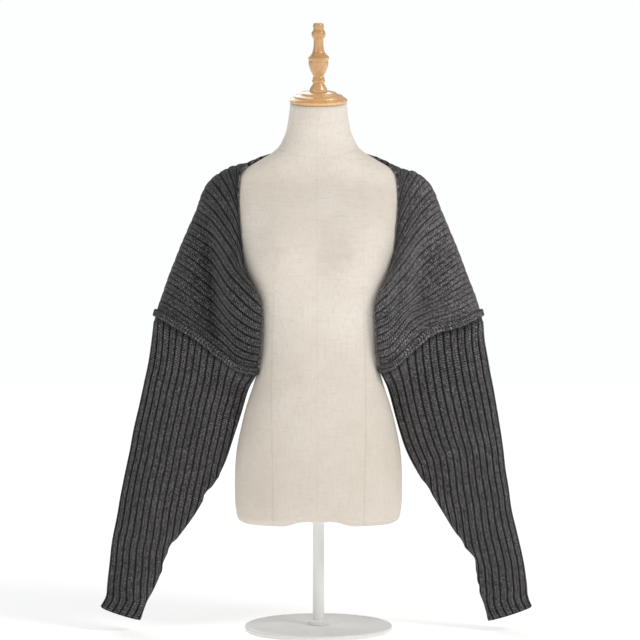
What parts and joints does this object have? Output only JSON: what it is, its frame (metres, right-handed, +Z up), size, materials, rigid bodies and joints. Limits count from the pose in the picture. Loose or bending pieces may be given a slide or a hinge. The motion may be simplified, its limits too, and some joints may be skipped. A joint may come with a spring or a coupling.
{
  "type": "cropped knit shrug on limbless dress form",
  "caption": "Open-fronted cropped rib-knit shrug with extra-long tapered sleeves and curled seam ridges, worn by a limbless dress form on a slim pole stand.",
  "frame": {"origin": "centre of the round base's underside, on the floor", "axes": "+Z up; the wearer faces -Y, so the viewer in front sees the wearer's right sleeve towards -X; +X is the wearer's left"},
  "size_m": [0.814, 0.28, 1.1471],
  "materials": {
    "body_panel": "charcoal melange rib knit",
    "sleeves": "charcoal melange rib knit",
    "seams": "curled knit seam ridge",
    "form_torso": "cream linen",
    "neck_cap": "varnished beech",
    "neck_finial": "varnished beech",
    "stand": "white satin paint"
  },
  "bodies": {
    "root": {"body_panel": "body_panel", "sleeve_left": "sleeves", "sleeve_right": "sleeves", "seam_left": "seams", "seam_right": "seams", "form_torso": "form_torso", "neck_cap": "neck_cap", "neck_finial": "neck_finial", "stand_base": "stand", "stand_pole": "stand"}
  },
  "joints": []
}
